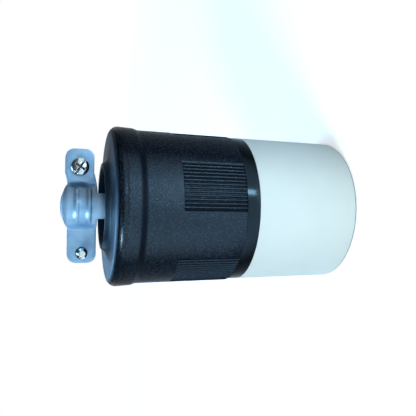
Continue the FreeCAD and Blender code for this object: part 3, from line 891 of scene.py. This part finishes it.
def housingNylon():
    look = housingLook
    finish = newFinish("housingNylon")
    where = finish.position()
    x, y, z = finish.parts(where)
    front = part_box("rear_housing")[0].z
    panelTop = front + (housing["panelLength"] - housing["panelEnd"]) * mm
    grain = finish.noise(where, look["grain"], 2, look["grainRoughness"])
    coarse = finish.noise(where, look["coarse"], 3)
    rear = finish.step(z, *[height * mm for height in look["rear"]])
    corner = finish.step(z, *[height * mm for height in look["corner"]])
    # Painted shade at the foot of the flange's ramp: no light specks and much less gloss there.
    foot = finish.between(z, *look["rampShadeSpan"])
    panel = panelMask(finish, x, y, z, panelTop)
    groove = grooveShadeMask(finish, where, z, front, panelTop)
    specks = finish.step(grain, *look["specks"]) * look["speckShare"] * (1 - foot)
    colour = finish.mix(specks, look["colour"], look["speck"])
    # Painted shade: the grooves between the ribs are darkened.
    colour = finish.mix(groove, colour, look["grooveShadeColour"])
    rough = look["roughness"] + coarse * look["roughSpread"] - panel * look["smoother"]
    rough = rough - corner * (1 - rear) * look["smoother"] + rear * (look["rearRoughness"] - look["roughness"])
    relief = (1 - corner * look["cornerSmooth"]) * (1 - panel * look["panelSmooth"])
    normal = finish.bump(grain * relief, look["grainDepth"] * mm, look["grainStrength"])
    # Less gloss in the grooves and at the ramp's foot is painted shade too.
    dulled = foot * look["rampShadeDull"] + groove * look["grooveShadeDull"]
    return finish.twoGlosses({"Base Color": colour, "Roughness": rough, "Normal": normal,
                              "Specular Tint": look["tint"]}, look, 1 - rear, dulled)


# The dark blue-grey colour paints shade on the arch from its crown over its +X side, which faces away from the
# key lamp, broken into patches by the cloud; the lip's crown gets it too.
zincLook = {
    "colour": (0.30, 0.55, 0.80, 1), "shade": (0.22, 0.45, 0.72, 1), "archShade": (0.14, 0.21, 0.30, 1),
    "cloud": 220, "cloudRoughness": 0.6, "cloudSpan": (0.35, 0.7), "fine": 2400,
    "shadeSpan": ((-0.5, 4.5), (6.8, 8.2)), "shadeSpread": (0.2, 0.6, 0.45, 0.9),
    "crown": (105.0, 106.2), "crownShade": 0.5, "crownMetal": 0.4, "crownRough": 0.3,
    "roughness": 0.26, "roughSpread": 0.14, "metal": 0.58, "bump": 0.010, "bumpStrength": 0.6,
}


def clampZinc():
    look = zincLook
    finish = newFinish("clampZinc")
    where = finish.position()
    cloud = finish.noise(where, look["cloud"], 4, look["cloudRoughness"])
    fine = finish.noise(where, look["fine"], 2)
    x, z = finish.parts(where)[::2]
    # Painted shade: the arch from its crown over its +X side is darkened in patches.
    archShade = finish.between(x, *look["shadeSpan"]) * finish.step(cloud, *look["shadeSpread"])
    # Painted shade on the lip's crown: darker, less metal and rougher there, to dim its bright reflection.
    crown = finish.step(z, *[height * mm for height in look["crown"]])
    colour = finish.mix(finish.step(cloud, *look["cloudSpan"]), look["colour"], look["shade"])
    colour = finish.mix(archShade, colour, look["archShade"])
    colour = finish.mix(crown * look["crownShade"], colour, look["archShade"])
    rough = look["roughness"] + cloud * look["roughSpread"] + crown * look["crownRough"]
    return finish.surface({"Base Color": colour, "Metallic": look["metal"] - crown * look["crownMetal"],
                           "Roughness": rough,
                           "Normal": finish.bump(fine, look["bump"] * mm, look["bumpStrength"])})


# The slot colour paints shade in the floors of the head's slot and cross.
chromeLook = {"colour": (0.66, 0.80, 0.86, 1), "shade": (0.50, 0.64, 0.70, 1), "slot": (0.05, 0.07, 0.09, 1),
              "slotShadeHeight": (3.9, 4.35), "cloud": 500, "roughness": 0.12, "roughSpread": 0.1}


def screwChrome():
    look = chromeLook
    finish = newFinish("screwChrome")
    where = finish.position()
    cloud = finish.noise(where, look["cloud"], 3)
    height = finish.add("ShaderNodeMath", {"operation": "ABSOLUTE"}, {0: finish.parts(where)[1]})
    # Painted shade: the screws are dark closer to the clamp's middle than the slot height, which darkens the
    # floors of the head's slot and cross.
    raised = finish.step(height, *[side * mm for side in look["slotShadeHeight"]])
    colour = finish.mix(raised, look["slot"], finish.mix(cloud, look["colour"], look["shade"]))
    return finish.surface({"Base Color": colour, "Metallic": 1.0,
                           "Roughness": look["roughness"] + cloud * look["roughSpread"]})


brassLook = {"colour": (0.80, 0.58, 0.27, 1), "shade": (0.62, 0.42, 0.18, 1), "cloud": 400,
             "roughness": 0.22, "roughSpread": 0.15}


def contactBrass():
    look = brassLook
    finish = newFinish("contactBrass")
    cloud = finish.noise(finish.position(), look["cloud"], 3)
    return finish.surface({"Base Color": finish.mix(cloud, look["colour"], look["shade"]), "Metallic": 1.0,
                           "Roughness": look["roughness"] + cloud * look["roughSpread"]})


rubberLook = {"colour": (0.012, 0.013, 0.015, 1), "shade": (0.022, 0.024, 0.026, 1), "fine": 1200,
              "roughness": 0.7, "roughSpread": 0.15, "bump": 0.03, "bumpStrength": 0.6}


def sealRubber():
    look = rubberLook
    finish = newFinish("sealRubber")
    fine = finish.noise(finish.position(), look["fine"], 3)
    return finish.surface({"Base Color": finish.mix(fine, look["colour"], look["shade"]),
                           "Roughness": look["roughness"] + fine * look["roughSpread"],
                           "Normal": finish.bump(fine, look["bump"] * mm, look["bumpStrength"])})


finishes = {
    "cover_nylon": coverNylon(), "carrier_plastic": bandPlastic(), "housing_nylon": housingNylon(),
    "clamp_steel": clampZinc(), "screw_steel": screwChrome(), "contact_brass": contactBrass(),
    "seal_rubber": sealRubber(),
}


def dress(piece, slotName):
    piece.data.materials.clear()
    piece.data.materials.append(finishes[slotName])


for part in frame["record"]["subparts"]:
    dress(frame["nodes"][part["node"]], part["material_slot"])
dress(coverShell, "cover_nylon")
dress(bandBase, "carrier_plastic")
dress(housingShell, "housing_nylon")
dress(clampNear, "clamp_steel")
dress(clampFar, "clamp_steel")
for piece in clampScrews:
    dress(piece, "screw_steel")
dress(sealRing, "seal_rubber")
print("materials made")


# Floor, light and camera

stage = {
    "floorRadius": 1.3, "floorSides": 128, "rimHeight": 0.305, "rimBend": 0.25, "rimSteps": 10, "sunk": 0.02,
    "smoothAngle": 40, "floorColour": (0.90, 0.89, 0.88, 1), "white": (1, 1, 1, 1), "floorGlow": 0.53,
    "whiteFrom": 0.15, "whiteTo": 0.7,
    "horizon": (0.80, 0.90, 1.0, 1), "horizonLevel": 0.28, "zenithLevel": 0.07, "zenithFrom": 0.55,
}


def floorPaper():
    # Paper near the part, plain white far from it. The glow is seen but lights nothing.
    finish = newFinish("floorPaper")
    isCamera = finish.add("ShaderNodeLightPath", output="Is Camera Ray")
    isGlossy, isThrough = finish.others(isCamera, ("Is Glossy Ray", "Is Transmission Ray"))
    seen = finish.add("ShaderNodeMath", {"operation": "ADD", "use_clamp": True},
                      {0: isCamera + isGlossy, 1: isThrough})
    away = finish.step(finish.length(finish.position()), stage["whiteFrom"], stage["whiteTo"])
    paper = finish.add("ShaderNodeBsdfDiffuse", {}, {"Color": stage["floorColour"]})
    glow = finish.add("ShaderNodeEmission", {}, {"Color": stage["white"], "Strength": stage["floorGlow"]})
    white = finish.add("ShaderNodeEmission", {}, {"Color": stage["white"], "Strength": 1.0})
    lit = finish.add("ShaderNodeAddShader", {}, {0: paper, 1: glow})
    return finish.close(finish.blend(seen * away, finish.blend(seen, paper, lit), white))


def makeFloor():
    # A round of paper that turns up at its rim.
    bpy.ops.object.select_all(action="DESELECT")
    bpy.ops.mesh.primitive_circle_add(vertices=stage["floorSides"], radius=stage["floorRadius"],
                                      fill_type="NGON")
    floor = bpy.context.object
    floor.name = "floor"
    pick(floor, "EDGE", lambda edge: True)
    radius, height = stage["floorRadius"], 0.0
    for step in range(1, stage["rimSteps"] + 1):
        turn = math.pi / 2 * step / stage["rimSteps"]
        wider = stage["floorRadius"] + stage["rimBend"] * math.sin(turn)
        higher = stage["rimBend"] * (1 - math.cos(turn))
        pullEdges(higher - height)
        bpy.ops.transform.resize(value=(wider / radius, wider / radius, 1), center_override=(0, 0, 0))
        radius, height = wider, higher
    pullEdges(stage["rimHeight"] - height)
    bpy.ops.mesh.select_all(action="SELECT")
    bpy.ops.transform.translate(value=(0, 0, -stage["sunk"] * mm))
    objectMode()
    smooth(floor, stage["smoothAngle"])
    floor.data.materials.append(floorPaper())


def makeWorld():
    # A sky that is palest at the horizon.
    world = bpy.data.worlds.new("studio")
    bpy.context.scene.world = world
    sky = Finish(world, "ShaderNodeOutputWorld")
    upward = sky.parts(sky.add("ShaderNodeTexCoord", output="Generated"))[2]
    level = sky.step(upward, 0.0, stage["zenithFrom"], stage["horizonLevel"], stage["zenithLevel"])
    sky.close(sky.add("ShaderNodeBackground", {}, {"Color": stage["horizon"], "Strength": level}))


lamps = {
    "key": {"place": (-0.54, -0.52, 0.43), "aim": (0, 0, 0.054), "size": (0.2, 0.2), "power": 4.52,
            "colour": (0.80, 0.93, 1.0)},
    "strip": {"place": (0.039, -0.099, 0.0365), "aim": (0.0065, -0.0293, 0.0365), "size": (0.011, 0.066),
              "power": 0.042, "colour": (0.67, 0.84, 0.96)},
    "back": {"place": (-0.14, 0.52, 0.74), "aim": (0, 0, 0.09), "size": (0.30, 0.74), "power": 7.0,
             "colour": (0.28, 0.60, 1.0)},
    "top": {"place": (-0.22, -0.02, 0.86), "aim": (0, 0, 0.09), "size": (0.14, 0.5), "power": 1.2,
            "colour": (0.55, 0.80, 1.0)},
}


def addLamp(name, lamp):
    bpy.ops.object.select_all(action="DESELECT")
    place = Vector(lamp["place"])
    bpy.ops.object.light_add(type="AREA", location=place)
    light = bpy.context.object
    light.name = name
    # The long side of a lamp stands upright, in line with the object.
    facing = (place - Vector(lamp["aim"])).normalized()
    side = Vector((0, 0, 1)).cross(facing).normalized()
    light.rotation_euler = Matrix((side, facing.cross(side), facing)).transposed().to_euler()
    light.data.shape = "RECTANGLE"
    light.data.size, light.data.size_y = lamp["size"]
    light.data.energy = lamp["power"]
    light.data.color = lamp["colour"]
    light.visible_camera = False


view = {"place": (-0.08, -187.19, 109.73), "forward": (0, 0.9538, -0.3006), "up": (1, 0, 0), "roll": 0.881,
        "focalPixels": 487.2, "framePixels": 416.0, "sensor": 36, "nearest": 0.01}


def addCamera():
    bpy.ops.object.select_all(action="DESELECT")
    bpy.ops.object.camera_add(location=Vector(view["place"]) * mm)
    camera = bpy.context.object
    forward = Vector(view["forward"]).normalized()
    up = Vector(view["up"])
    right = forward.cross(up)
    roll = math.radians(view["roll"])
    tilted = right * math.cos(roll) + up * math.sin(roll)
    upright = up * math.cos(roll) - right * math.sin(roll)
    camera.rotation_euler = Matrix((tilted, upright, -forward)).transposed().to_euler()
    camera.data.sensor_width = view["sensor"]
    camera.data.lens = view["sensor"] * view["focalPixels"] / view["framePixels"]
    camera.data.clip_start = view["nearest"]
    bpy.context.scene.camera = camera


makeFloor()
makeWorld()
for lampName, lamp in lamps.items():
    addLamp(lampName, lamp)
addCamera()
bpy.context.scene.view_settings.view_transform = "Standard"
print("stage set")
